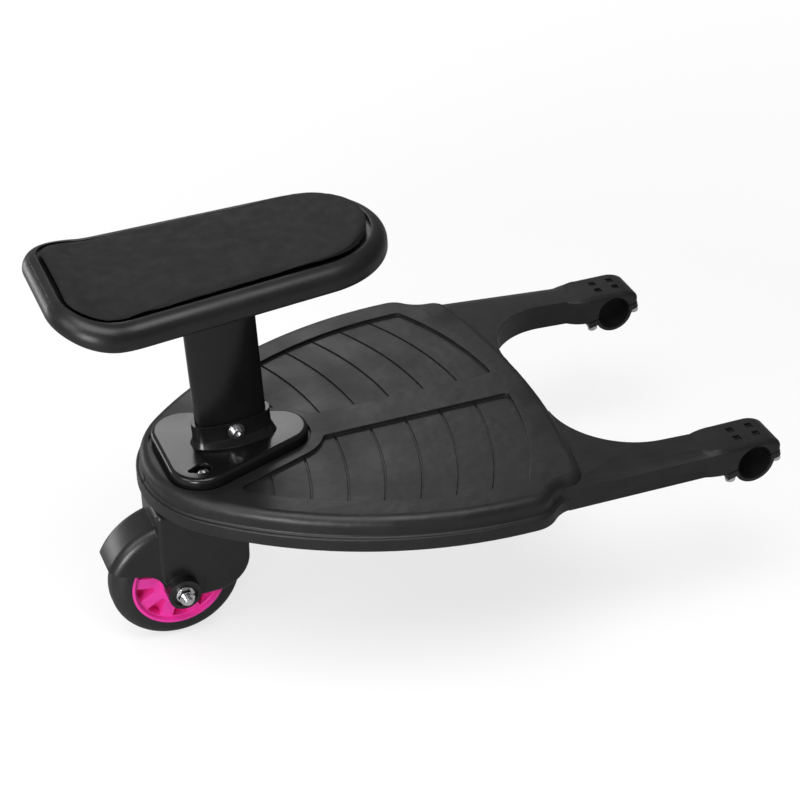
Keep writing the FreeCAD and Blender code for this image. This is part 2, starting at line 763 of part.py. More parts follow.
def clamp_bolts(hand):
    """Bolts driven up through the cap's ears."""
    seat = -CLAMP_SPLIT / 2 - EAR_THICKNESS
    tip = CLAMP_SPLIT / 2 + INSERT_LENGTH - FACE_CLEARANCE
    bolts = []
    for along, across in clamp_bolt_places():
        under = clamp_point(along, seat, hand, across)
        head = rod(CLAMP_HEAD_RADIUS, clamp_point(along, seat - CLAMP_HEAD_HEIGHT, hand, across), under)
        shank = rod(CLAMP_BOLT_RADIUS, under, clamp_point(along, tip, hand, across))
        bolts.append(head.fuse(shank).removeSplitter())
    return Part.makeCompound(bolts)


def clamp_inserts(hand):
    """Threaded inserts in the upper clamp half, shown with plain bores."""
    gap = CLAMP_SPLIT / 2
    sleeves = []
    for along, across in clamp_bolt_places():
        low = clamp_point(along, gap, hand, across)
        high = clamp_point(along, gap + INSERT_LENGTH, hand, across)
        sleeves.append(ring(INSERT_RADIUS, CLAMP_BOLT_RADIUS + SLIDE_CLEARANCE, low, high))
    return Part.makeCompound(sleeves)


# Seat base and post


def lock_line():
    """Height of the lock screw before the rake."""
    return POST_FOOT_Z + LOCK_HEIGHT


def oval_at(grow, height):
    wire = oval(grow)
    wire.translate(UP * height)
    return wire


def collar_half_width():
    return POST_HALF_WIDTH + SEAT_CLEARANCE + COLLAR_WALL


def seat_base():
    """Rounded plate with the oval collar that holds the post."""
    plate = prism(plate_outline(0.0), 0, PLATE_HEIGHT)
    top_edges = edges_where(plate, lambda edge: edge.BoundBox.ZMin > PLATE_HEIGHT - NEAR)
    plate = plate.makeFillet(PLATE_EDGE, top_edges)
    hollow = prism(plate_outline(-PLATE_SKIN), -1, PLATE_HEIGHT - PLATE_SKIN)
    grow = SEAT_CLEARANCE + COLLAR_WALL
    pedestal = oval_column(grow, 0, PLATE_HEIGHT)
    hollow = hollow.cut(pedestal)
    for x, y in SCREW_PLACES:
        place = vec(x, y, 0)
        hollow = hollow.cut(rod(RECESS_RADIUS + PLATE_SKIN / 2, place, place + UP * PLATE_HEIGHT))
    plate = plate.cut(hollow)
    top = POST_FOOT_Z + COLLAR_HEIGHT
    low = PLATE_HEIGHT - PLATE_SKIN / 2
    flare_top = PLATE_HEIGHT + 2 * COLLAR_FLARE
    collar = raked(oval_column(grow, low, top))
    skirt = Part.makeLoft([oval_at(grow + COLLAR_FLARE, low), oval_at(grow, flare_top)], True, True)
    solid = plate.fuse([collar, raked(skirt)])
    solid = solid.cut(raked(oval_column(SEAT_CLEARANCE, POST_FOOT_Z, top + COLLAR_HEIGHT)))
    for x, y in SCREW_PLACES:
        place = vec(x, y, 0)
        recess = prism(pear(-RECESS_TAIL, RECESS_TAIL_RADIUS, 0, RECESS_RADIUS), PLATE_HEIGHT - RECESS_DEPTH,
                       PLATE_HEIGHT + 1)
        recess.translate(place)
        hole = rod(SCREW_RADIUS + SEAT_CLEARANCE, place - UP, place + UP * PLATE_HEIGHT)
        solid = solid.cut([recess, hole])
    half = collar_half_width() + COLLAR_FLARE
    lock = vec(POST_X, 0, lock_line())
    lock_hole = rod(LOCK_RADIUS + SEAT_CLEARANCE, lock - ACROSS * half, lock + ACROSS * half)
    solid = solid.cut([raked(lock_hole)] + [raked(pad) for pad in lock_flats()])
    return solid.removeSplitter()


def lock_flats():
    """Spot faces on the collar, where the washers of the lock screw sit."""
    reach = LOCK_WASHER_RADIUS + SLIDE_CLEARANCE
    inner = collar_half_width() - WASHER_THICKNESS / 2
    outer = collar_half_width() + COLLAR_FLARE
    return [rod(reach, vec(POST_X, hand * inner, lock_line()), vec(POST_X, hand * outer, lock_line()))
            for _, hand in SIDES]


def seat_base_screws():
    """Pan-headed screws through the plate and the deck, shown with plain shanks."""
    screws = []
    under = PLATE_HEIGHT - RECESS_DEPTH
    tip = -(SCREW_BOSS_DROP + WASHER_THICKNESS + 2 * SCREW_RADIUS + 1)
    for x, y in SCREW_PLACES:
        place = vec(x, y, 0)
        head = rod(SCREW_HEAD_RADIUS, place + UP * under, place + UP * (under + SCREW_HEAD_HEIGHT))
        socket = hexagon(SCREW_RADIUS * SOCKET_SHARE, place + UP * (under + SCREW_HEAD_HEIGHT / 2),
                         place + UP * (under + SCREW_HEAD_HEIGHT + 1))
        head = head.makeFillet(SCREW_HEAD_HEIGHT / 3, edges_where(
            head, lambda edge: edge.BoundBox.ZMin > under + SCREW_HEAD_HEIGHT - NEAR))
        shank = rod(SCREW_RADIUS, place + UP * tip, place + UP * under)
        screws.append(head.fuse(shank).cut(socket).removeSplitter())
    return Part.makeCompound(screws)


def seat_base_washers():
    washers = []
    bore = SCREW_RADIUS + SEAT_CLEARANCE
    for x, y in SCREW_PLACES:
        top = vec(x, y, -SCREW_BOSS_DROP)
        washers.append(ring(SCREW_HEAD_RADIUS + 1, bore, top - UP * WASHER_THICKNESS, top))
    return Part.makeCompound(washers)


def seat_base_nuts():
    nuts = []
    for x, y in SCREW_PLACES:
        top = vec(x, y, -SCREW_BOSS_DROP - WASHER_THICKNESS)
        low = top - UP * 2 * SCREW_RADIUS
        bore = rod(SCREW_RADIUS + SEAT_CLEARANCE, low, top)
        nuts.append(hexagon(2 * SCREW_HEAD_RADIUS - 1, low, top).cut(bore))
    return Part.makeCompound(nuts)


def seat_post():
    """Oval column, hollow from below, with a solid head for the pan's screws."""
    solid = oval_column(0.0, POST_FOOT_Z, POST_TOP)
    solid = solid.cut(oval_column(-POST_WALL, POST_FOOT_Z - 1, POST_TOP - PAN_SCREW_LENGTH - POST_WALL))
    half = POST_HALF_WIDTH + 1
    hole = rod(LOCK_RADIUS + SEAT_CLEARANCE, vec(POST_X, -half, lock_line()), vec(POST_X, half, lock_line()))
    for step in (-0.5, 0.5):
        place = vec(POST_X + step * PAN_SCREW_PITCH, 0, POST_TOP)
        solid = solid.cut(rod(PAN_SCREW_RADIUS + SEAT_CLEARANCE, place - UP * PAN_SCREW_LENGTH, place + UP))
    return raked(solid.cut(hole))


def lock_seat():
    """Distance of the spot faces from the post's mid-plane."""
    return collar_half_width() - WASHER_THICKNESS / 2


def seat_lock_screw():
    """Screw across the collar, head on the right side."""
    head_y = -lock_seat() - WASHER_THICKNESS
    tip_y = lock_seat() + WASHER_THICKNESS + 2 * LOCK_RADIUS + 1
    z = lock_line()
    head = rod(LOCK_HEAD_RADIUS, vec(POST_X, head_y - LOCK_HEAD_HEIGHT, z), vec(POST_X, head_y, z))
    head = head.makeFillet(LOCK_HEAD_HEIGHT / 3, edges_where(
        head, lambda edge: edge.BoundBox.YMax < head_y - LOCK_HEAD_HEIGHT + NEAR))
    socket = hexagon(LOCK_RADIUS * SOCKET_SHARE, vec(POST_X, head_y - LOCK_HEAD_HEIGHT - 1, z),
                     vec(POST_X, head_y - LOCK_HEAD_HEIGHT / 2, z))
    shank = rod(LOCK_RADIUS, vec(POST_X, head_y, z), vec(POST_X, tip_y, z))
    return raked(head.fuse(shank).cut(socket).removeSplitter())


def seat_lock_washers():
    washers = []
    for _, hand in SIDES:
        inner = vec(POST_X, hand * lock_seat(), lock_line())
        outer = inner + ACROSS * hand * WASHER_THICKNESS
        washers.append(ring(LOCK_WASHER_RADIUS, LOCK_RADIUS + SEAT_CLEARANCE, inner, outer))
    return raked(Part.makeCompound(washers))


def seat_lock_nut():
    start = vec(POST_X, lock_seat() + WASHER_THICKNESS, lock_line())
    end = start + ACROSS * 2 * LOCK_RADIUS
    nut = hexagon(2 * LOCK_HEAD_RADIUS - 1, start, end)
    return raked(nut.cut(rod(LOCK_RADIUS + SEAT_CLEARANCE, start, end)))


# Seat


def saddle(inset):
    """Plan of the seat: rounded rear corners, straight sides and a round nose."""
    corner = vec(SEAT_REAR + SEAT_CORNER, SEAT_HALF_WIDTH - SEAT_CORNER, 0)
    nose = vec(SEAT_FRONT - SEAT_NOSE, 0, 0)
    corner_radius = SEAT_CORNER - inset
    nose_radius = SEAT_NOSE - inset
    reach = nose - corner
    lean = math.atan2(reach.y, reach.x) + math.acos((SEAT_CORNER - SEAT_NOSE) / reach.Length)
    turn = (lean + math.pi) / 2

    def on(centre, radius, angle):
        return centre + vec(math.cos(angle), math.sin(angle), 0) * radius

    rear = on(corner, corner_radius, math.pi)
    bend = on(corner, corner_radius, turn)
    side = on(corner, corner_radius, lean)
    front = on(nose, nose_radius, lean)
    tip = on(nose, nose_radius, 0)
    return Part.Wire([
        Part.makeLine(mirrored(rear), rear),
        arc(rear, bend, side),
        Part.makeLine(side, front),
        arc(front, tip, mirrored(front)),
        Part.makeLine(mirrored(front), mirrored(side)),
        arc(mirrored(side), mirrored(bend), mirrored(rear)),
    ])


def rise_radius():
    return (SEAT_RISE_LENGTH ** 2 + SEAT_RISE ** 2) / (2 * SEAT_RISE)


def seat_line(offset, angle):
    """Point on the seat's raised rear, an arc about a centre above it, offset along its own normal."""
    centre = vec(SEAT_REAR + SEAT_RISE_LENGTH, 0, SEAT_HEIGHT + rise_radius())
    radius = rise_radius() - offset
    return centre + vec(-math.sin(angle), 0, -math.cos(angle)) * radius


def seat_slab(low, high):
    """Layer of the seat between two offsets from its top line, wider and longer than the seat."""
    past = math.asin(SEAT_RISE_LENGTH / rise_radius()) * 1.25
    front_x = SEAT_FRONT + OVERRUN
    side = -SEAT_HALF_WIDTH - OVERRUN
    low_start, low_bend, low_end = [seat_line(low, past * share) for share in (0, 0.5, 1)]
    high_start, high_bend, high_end = [seat_line(high, past * share) for share in (0, 0.5, 1)]
    profile = Part.Wire([
        Part.makeLine(vec(front_x, 0, SEAT_HEIGHT + low), low_start),
        arc(low_start, low_bend, low_end),
        Part.makeLine(low_end, high_end),
        arc(high_end, high_bend, high_start),
        Part.makeLine(high_start, vec(front_x, 0, SEAT_HEIGHT + high)),
        Part.makeLine(vec(front_x, 0, SEAT_HEIGHT + high), vec(front_x, 0, SEAT_HEIGHT + low)),
    ])
    layer = Part.Face(profile).extrude(ACROSS * -2 * side)
    layer.translate(ACROSS * side)
    return layer


def seat_layer(inset, low, high):
    """Layer of the seat inside its plan."""
    column = prism(saddle(inset), SEAT_HEIGHT - 3 * PAN_DEPTH, SEAT_HEIGHT + 3 * PAN_DEPTH)
    return seat_slab(low, high).common(column)


def pan_screw_places():
    return [vec(POST_X + step * PAN_SCREW_PITCH, 0, POST_TOP) for step in (-0.5, 0.5)]


def outer_edges(shape, offset):
    """Edges of the seat's outline at one offset from its top line."""
    def belongs(edge):
        point = edge.valueAt((edge.FirstParameter + edge.LastParameter) / 2)
        crosswise = edge.BoundBox.XLength < NEAR and edge.BoundBox.ZLength < NEAR
        if is_upright(edge) or (crosswise and point.x > SEAT_REAR + 1):
            return False
        bend = seat_line(0, 0)
        if point.x >= bend.x:
            height = point.z - SEAT_HEIGHT
        else:
            centre = vec(bend.x, 0, SEAT_HEIGHT + rise_radius())
            height = rise_radius() - (vec(point.x, 0, point.z) - centre).Length
        return abs(height - offset) < 1
    return edges_where(shape, belongs)


def seat_pan():
    """Saddle shell: rolled edge, recess for the pad, ribbed underside and a socket for the post."""
    solid = seat_layer(0.0, -PAN_DEPTH, 0.0)
    solid = solid.makeFillet(PAN_TOP_ROUND, outer_edges(solid, 0.0))
    solid = solid.makeFillet(PAN_BOTTOM_ROUND, outer_edges(solid, -PAN_DEPTH))
    solid = solid.cut(seat_layer(PAN_LIP, -PAD_RECESS, 2 * PAN_DEPTH))
    hollow = seat_layer(PAN_WALL, -2 * PAN_DEPTH, -PAD_RECESS - PAN_FLOOR)
    grow = SEAT_CLEARANCE + SOCKET_WALL
    foot = SEAT_HEIGHT - PAN_DEPTH
    hollow = hollow.cut(oval_column(grow, foot, POST_TOP + 1))
    half = RIB_THICKNESS / 2
    low, high = foot + PAN_FLOOR, SEAT_HEIGHT + PAN_DEPTH
    for step in (-1, 0, 1):
        x = POST_X + step * PAN_RIB_PITCH
        y = step * PAN_RIB_PITCH / 2
        hollow = hollow.cut(block(SEAT_REAR, SEAT_FRONT, y - half, y + half, low, high))
        hollow = hollow.cut(block(x - half, x + half, -SEAT_HALF_WIDTH, SEAT_HALF_WIDTH, low, high))
    solid = solid.cut(hollow).cut(oval_column(SEAT_CLEARANCE, foot - 1, POST_TOP))
    for place in pan_screw_places():
        head_seat = SEAT_HEIGHT - PAD_RECESS - PAN_SCREW_HEAD_HEIGHT - FACE_CLEARANCE
        solid = solid.cut(rod(PAN_SCREW_RADIUS + SEAT_CLEARANCE, place - UP, place + UP * PAN_DEPTH))
        seat = vec(place.x, 0, head_seat)
        solid = solid.cut(rod(PAN_SCREW_HEAD_RADIUS + SEAT_CLEARANCE, seat, seat + UP * PAN_DEPTH))
    return raked(solid.removeSplitter())


def seat_pan_screws():
    screws = []
    head_seat = SEAT_HEIGHT - PAD_RECESS - PAN_SCREW_HEAD_HEIGHT - FACE_CLEARANCE
    for place in pan_screw_places():
        seat = vec(place.x, 0, head_seat)
        head = rod(PAN_SCREW_HEAD_RADIUS, seat, seat + UP * PAN_SCREW_HEAD_HEIGHT)
        shank = rod(PAN_SCREW_RADIUS, vec(place.x, 0, POST_TOP - PAN_SCREW_LENGTH + 1), seat)
        screws.append(head.fuse(shank).removeSplitter())
    return raked(Part.makeCompound(screws))


def pad_station(x):
    """Crosswise section of the pad at one place along the seat: flat foot, sides drawn in, crowned top."""
    bend = SEAT_REAR + SEAT_RISE_LENGTH
    run = max(bend - x, 0.0)
    lift = rise_radius() - math.sqrt(rise_radius() ** 2 - run ** 2)
    base = SEAT_HEIGHT + lift
    half = SEAT_HALF_WIDTH
    low = base - 3 * PAD_RECESS
    edge = base + PAD_STAND
    left = vec(x, half, edge)
    right = vec(x, -half, edge)
    crown = vec(x, 0, edge + PAD_CROWN)
    return Part.Wire([
        Part.makeLine(vec(x, -half, low), vec(x, half, low)),
        Part.makeLine(vec(x, half, low), left),
        arc(left, crown, right),
        Part.makeLine(right, vec(x, -half, low)),
    ])


def seat_pad():
    """Soft pad: crowned across, raised at the rear and rounded along its edge."""
    bend = SEAT_REAR + SEAT_RISE_LENGTH
    span = SEAT_FRONT + OVERRUN - bend
    ahead = [bend + span * share for share in (1, 0.66, 0.33, 0.1, 0)]
    behind = [bend - SEAT_RISE_LENGTH * share for share in (0.25, 0.5, 0.75, 1.05)]
    crown = Part.makeLoft([pad_station(x) for x in ahead + behind], True, False)
    solid = crown.common(seat_layer(PAN_LIP + PAD_GAP, -PAD_RECESS + SEAT_CLEARANCE, 2 * PAN_DEPTH))
    bounds = solid.BoundBox

    def is_top(edge):
        point = edge.valueAt((edge.FirstParameter + edge.LastParameter) / 2)
        inside = abs(point.y) < 1 and bounds.XMin + 1 < point.x < bounds.XMax - 1
        run = max(bend - point.x, 0.0)
        floor = rise_radius() - math.sqrt(rise_radius() ** 2 - run ** 2) + SEAT_HEIGHT
        return not is_upright(edge) and not inside and point.z > floor

    solid = solid.makeFillet(PAD_EDGE, edges_where(solid, is_top))
    return raked(solid)


# Caster


def axle_point(y):
    return vec(AXLE_X, y, -AXLE_DROP)


def on_axle(angle, radius):
    """Point in the wheel's plane, the angle counted from +X towards +Z."""
    a = math.radians(angle)
    return vec(AXLE_X + radius * math.cos(a), 0, -AXLE_DROP + radius * math.sin(a))


def cheek_profile():
    """Side view of the fork: crown, rounded front corner, axle eye and the scoop behind it."""
    eye_rear = on_axle(180, BOSS_EYE_RADIUS)
    eye_low = on_axle(225, BOSS_EYE_RADIUS)
    scoop = vec(eye_rear.x - CHEEK_SCOOP_RADIUS, 0, -AXLE_DROP)
    reach = math.acos(min((FORK_REAR - scoop.x) / CHEEK_SCOOP_RADIUS, 1.0))
    scoop_end = scoop + vec(math.cos(reach), 0, math.sin(reach)) * CHEEK_SCOOP_RADIUS
    scoop_bend = scoop + vec(math.cos(reach / 2), 0, math.sin(reach / 2)) * CHEEK_SCOOP_RADIUS
    eye_foot = on_axle(270, BOSS_EYE_RADIUS)
    corner = vec(FORK_FRONT - FORK_CORNER, 0, eye_foot.z + FORK_CORNER)
    bend = math.sqrt(0.5) * FORK_CORNER
    corner_bend = corner + vec(bend, 0, -bend)
    corner_end = corner - UP * FORK_CORNER
    front = vec(FORK_FRONT, 0, corner.z)
    return Part.Wire([
        Part.makeLine(vec(FORK_REAR, 0, FORK_TOP), vec(FORK_FRONT, 0, FORK_TOP)),
        Part.makeLine(vec(FORK_FRONT, 0, FORK_TOP), front),
        arc(front, corner_bend, corner_end),
        Part.makeLine(corner_end, eye_foot),
        arc(eye_foot, eye_low, eye_rear),
        arc(eye_rear, scoop_bend, scoop_end),
        Part.makeLine(scoop_end, vec(FORK_REAR, 0, FORK_TOP)),
    ])


def hood_profile():
    """Side view of the mudguard behind the fork, ending above the tread."""
    tip_angle = 180 - math.degrees(math.asin(HOOD_END_RISE / HOOD_RADIUS))
    tip = on_axle(tip_angle, HOOD_RADIUS)
    join_x = FORK_REAR + HOOD_EDGE
    join_angle = math.degrees(math.acos((join_x - AXLE_X) / HOOD_RADIUS))
    join = on_axle(join_angle, HOOD_RADIUS)
    bend = on_axle((tip_angle + join_angle) / 2, HOOD_RADIUS)
    eye_rear = on_axle(180, BOSS_EYE_RADIUS)
    scoop = vec(eye_rear.x - CHEEK_SCOOP_RADIUS, 0, -AXLE_DROP)
    half = math.sqrt(0.5) * CHEEK_SCOOP_RADIUS
    shelf = vec(scoop.x, 0, -AXLE_DROP + CHEEK_SCOOP_RADIUS)
    return Part.Wire([
        arc(tip, bend, join),
        Part.makeLine(join, vec(join_x, 0, -AXLE_DROP)),
        Part.makeLine(vec(join_x, 0, -AXLE_DROP), eye_rear),
        arc(eye_rear, scoop + vec(half, 0, half), shelf),
        Part.makeLine(shelf, tip),
    ])


def across_body(profile, half_width):
    solid = Part.Face(profile).extrude(ACROSS * 2 * half_width)
    solid.translate(ACROSS * -half_width)
    return solid


def cheek_taper():
    """Body between the cheeks' outer faces, which draw in towards the axle."""
    low = -AXLE_DROP - WHEEL_RADIUS
    slope = (FORK_HALF_WIDTH - CHEEK_HALF_WIDTH) / (FORK_TOP + AXLE_DROP)
    foot = FORK_HALF_WIDTH - slope * (FORK_TOP - low)
    x = FORK_REAR - HOOD_EDGE
    section = outline([
        vec(x, -FORK_HALF_WIDTH, FORK_TOP),
        vec(x, FORK_HALF_WIDTH, FORK_TOP),
        vec(x, foot, low),
        vec(x, -foot, low),
    ])
    return Part.Face(section).extrude(vec(FORK_FRONT + HOOD_EDGE - x, 0, 0))


def caster_fork():
    """Fork with its hood round the wheel, the swivel bore in its crown and the axle eyes in its cheeks."""
    cheeks = across_body(cheek_profile(), FORK_HALF_WIDTH).common(cheek_taper())

    def is_outer_corner(edge):
        box = edge.BoundBox
        tall = box.XLength < NEAR and box.ZLength > FORK_EDGE
        top = box.ZMin > FORK_TOP - NEAR
        return tall or top

    cheeks = cheeks.makeFillet(FORK_EDGE, edges_where(cheeks, is_outer_corner))
    hood = across_body(hood_profile(), HOOD_HALF_WIDTH)

    def is_crest(edge):
        box = edge.BoundBox
        return box.YLength < NEAR and box.ZMax > -AXLE_DROP + HOOD_RADIUS / 2 and box.XLength > HOOD_EDGE

    hood = hood.makeFillet(HOOD_EDGE, edges_where(hood, is_crest))
    solid = cheeks.fuse(hood)
    for _, hand in SIDES:
        inner = axle_point(hand * WELL_HALF_WIDTH)
        outer = axle_point(hand * (FORK_HALF_WIDTH + EYE_STAND))
        solid = solid.fuse(rod(BOSS_EYE_RADIUS, inner, outer))
    cuts = [rod(WELL_RADIUS, axle_point(-WELL_HALF_WIDTH), axle_point(WELL_HALF_WIDTH))]
    half = FORK_HALF_WIDTH + EYE_STAND + 1
    cuts.append(rod(AXLE_RADIUS + SEAT_CLEARANCE, axle_point(-half), axle_point(half)))
    for _, hand in SIDES:
        cuts.append(rod(EYE_BORE_RADIUS, axle_point(hand * eye_floor()), axle_point(hand * half)))
    cuts.append(rod(KINGPIN_RADIUS + SEAT_CLEARANCE, vec(0, 0, -AXLE_DROP), vec(0, 0, 0)))
    recess = KINGPIN_HEAD_SIZE / math.sqrt(3) + 2 * SEAT_CLEARANCE
    cuts.append(rod(recess, vec(0, 0, -AXLE_DROP), vec(0, 0, kingpin_head_top())))
    return solid.cut(cuts).removeSplitter()


def eye_floor():
    """Distance of the washer seats from the wheel's mid-plane."""
    return FORK_HALF_WIDTH + EYE_STAND - EYE_BORE_DEPTH


def kingpin_head_top():
    """Height of the seat of the kingpin's head, just clear of the wheel well."""
    well_top = -AXLE_DROP + math.sqrt(WELL_RADIUS ** 2 - TRAIL ** 2)
    return well_top + KINGPIN_HEAD_HEIGHT


def kingpin():
    """Swivel bolt, head up inside the fork's crown."""
    top = kingpin_head_top()
    tip = -NUT_POCKET_DEPTH + FACE_CLEARANCE + WASHER_THICKNESS + KINGPIN_NUT_HEIGHT + 2
    head = hexagon(KINGPIN_HEAD_SIZE, vec(0, 0, top - KINGPIN_HEAD_HEIGHT), vec(0, 0, top))
    return head.fuse(rod(KINGPIN_RADIUS, vec(0, 0, top), vec(0, 0, tip))).removeSplitter()


def kingpin_washer():
    low = vec(0, 0, -NUT_POCKET_DEPTH + FACE_CLEARANCE)
    return ring(KINGPIN_WASHER_RADIUS, KINGPIN_RADIUS + SEAT_CLEARANCE, low, low + UP * WASHER_THICKNESS)


def kingpin_nut():
    low = vec(0, 0, -NUT_POCKET_DEPTH + FACE_CLEARANCE + WASHER_THICKNESS)
    high = low + UP * KINGPIN_NUT_HEIGHT
    return hexagon(KINGPIN_HEAD_SIZE, low, high).cut(rod(KINGPIN_RADIUS + SEAT_CLEARANCE, low, high))


def swivel_bush():
    """Flanged bush in the deck's boss, the kingpin's bearing."""
    bore = KINGPIN_RADIUS + RUN_CLEARANCE
    sleeve = ring(KINGPIN_RADIUS + BUSH_WALL, bore, vec(0, 0, -BOSS_DROP), vec(0, 0, -NUT_POCKET_DEPTH))
    flange = ring(BUSH_FLANGE_RADIUS, bore, vec(0, 0, -BOSS_DROP - BUSH_FLANGE), vec(0, 0, -BOSS_DROP))
    return sleeve.fuse(flange).removeSplitter()


def thrust_washer():
    low = vec(0, 0, FORK_TOP)
    return ring(BUSH_FLANGE_RADIUS, KINGPIN_RADIUS + SEAT_CLEARANCE, low, low + UP * WASHER_THICKNESS)


def turned(points):
    """Solid turned about the axle from a half section given as radius and distance across."""
    face = Part.Face(outline([vec(AXLE_X, y, -AXLE_DROP + radius) for radius, y in points]))
    return face.revolve(axle_point(0), ACROSS, 360)


def tyre():
    """Round-crowned tyre on the hub's rim."""
    low = HUB_RADIUS + RUN_CLEARANCE
    side = TYRE_HALF_WIDTH

    def at(radius, y):
        return vec(AXLE_X, y, -AXLE_DROP + radius)

    bulge = TYRE_SHOULDER_RADIUS + TYRE_BULGE * (WHEEL_RADIUS - TYRE_SHOULDER_RADIUS)
    section = Part.Wire([
        Part.makeLine(at(low, -side), at(low, side)),
        Part.makeLine(at(low, side), at(TYRE_SHOULDER_RADIUS, side)),
        arc(at(TYRE_SHOULDER_RADIUS, side), at(bulge, TYRE_BULGE * side), at(WHEEL_RADIUS, 0)),
        arc(at(WHEEL_RADIUS, 0), at(bulge, -TYRE_BULGE * side), at(TYRE_SHOULDER_RADIUS, -side)),
        Part.makeLine(at(TYRE_SHOULDER_RADIUS, -side), at(low, -side)),
    ])
    return Part.Face(section).revolve(axle_point(0), ACROSS, 360)


def hub_pocket(hand):
    """One pocket between two spokes, on one side of the web."""
    outer = HUB_RADIUS - HUB_RIM - 1
    half_turn = 180.0 / HUB_POCKETS
    corners = []
    for radius in (HUB_POCKET_INNER, outer):
        edge = half_turn - math.degrees(HUB_SPOKE / 2 / radius)
        corners.append([on_axle(90 + side * edge, radius) for side in (-1, 1)])
    (inner_a, inner_b), (outer_a, outer_b) = corners
    profile = Part.Wire([
        arc(inner_a, on_axle(90, HUB_POCKET_INNER), inner_b),
        Part.makeLine(inner_b, outer_b),
        arc(outer_b, on_axle(90, outer), outer_a),
        Part.makeLine(outer_a, inner_a),
    ])
    solid = Part.Face(profile).extrude(ACROSS * TYRE_HALF_WIDTH)
    lengthwise = edges_where(solid, lambda edge: edge.BoundBox.YLength > TYRE_HALF_WIDTH - NEAR)
    solid = solid.makeFillet(HUB_POCKET_ROUND, lengthwise)
    solid.translate(ACROSS * HUB_WEB / 2)
    return solid if hand > 0 else solid.mirror(vec(0, 0, 0), ACROSS)


def wheel_hub():
    """Spoked hub with a pocketed web, a rim for the tyre and bearing seats at both ends."""
    side = TYRE_HALF_WIDTH
    face = side - HUB_DISH
    rim = HUB_RADIUS - HUB_RIM
    right = [
        (AXLE_RADIUS + HUB_BORE_GAP, -side),
        (HUB_BOSS_RADIUS, -side),
        (HUB_BOSS_RADIUS + 1, -face),
        (rim, -face),
        (rim + 1, -side),
        (HUB_RADIUS, -side),
    ]
    solid = turned(right + [(radius, -y) for radius, y in reversed(right)])
    cuts = []
    for _, hand in SIDES:
        pocket = hub_pocket(hand)
        for k in range(HUB_POCKETS):
            copy = pocket.copy()
            copy.rotate(axle_point(0), ACROSS, (k + 0.5) * 360.0 / HUB_POCKETS)
            cuts.append(copy)
        seat = axle_point(hand * (side - BEARING_WIDTH))
        cuts.append(rod(BEARING_RADIUS + RUN_CLEARANCE, seat, axle_point(hand * (side + 1))))
    return solid.cut(cuts)


def wheel_bearings():
    """Sealed bearings at both ends of the hub, each as one ring."""
    inner = TYRE_HALF_WIDTH - BEARING_WIDTH
    rings = []
    for _, hand in SIDES:
        bore = AXLE_RADIUS + RUN_CLEARANCE
        rings.append(ring(BEARING_RADIUS, bore, axle_point(hand * inner), axle_point(hand * TYRE_HALF_WIDTH)))
    return Part.makeCompound(rings)


def bearing_spacer():
    """Tube between the bearings, inside the hub."""
    half = TYRE_HALF_WIDTH - BEARING_WIDTH
    return ring(AXLE_RADIUS + SPACER_WALL, AXLE_RADIUS + RUN_CLEARANCE, axle_point(-half), axle_point(half))


def axle_spacers():
    """Collars between the cheeks and the bearings."""
    inner = TYRE_HALF_WIDTH + FACE_CLEARANCE
    bore = AXLE_RADIUS + SEAT_CLEARANCE
    return Part.makeCompound([
        ring(AXLE_COLLAR_RADIUS, bore, axle_point(hand * inner), axle_point(hand * WELL_HALF_WIDTH))
        for _, hand in SIDES])


def axle_washers():
    inner = eye_floor()
    outer = inner + WASHER_THICKNESS
    bore = AXLE_RADIUS + SEAT_CLEARANCE
    return Part.makeCompound([
        ring(AXLE_WASHER_RADIUS, bore, axle_point(hand * inner), axle_point(hand * outer))
        for _, hand in SIDES
    ])


def axle_bolt():
    """Bolt through the fork and the wheel, head on the left side."""
    head = eye_floor() + WASHER_THICKNESS
    tip = -head - AXLE_NUT_HEIGHT - AXLE_TIP
    cap = hexagon(AXLE_NUT_SIZE, axle_point(head), axle_point(head + AXLE_HEAD_HEIGHT))
    shank = rod(AXLE_RADIUS, axle_point(tip), axle_point(head))
    shank = shank.makeChamfer(AXLE_RADIUS / 5, edges_where(
        shank, lambda edge: edge.BoundBox.YMax < tip + NEAR))
    return cap.fuse(shank).removeSplitter()


def axle_nut():
    """Locking nut with a rounded collar, on the right side."""
    start = axle_point(-eye_floor() - WASHER_THICKNESS)
    middle = start - ACROSS * (NUT_HEX_SHARE * AXLE_NUT_HEIGHT)
    end = start - ACROSS * AXLE_NUT_HEIGHT
    body = hexagon(AXLE_NUT_SIZE, start, middle).fuse(rod(NUT_COLLAR_SHARE * AXLE_NUT_SIZE, middle, end))
    return body.cut(rod(AXLE_RADIUS + SEAT_CLEARANCE, start, end)).removeSplitter()


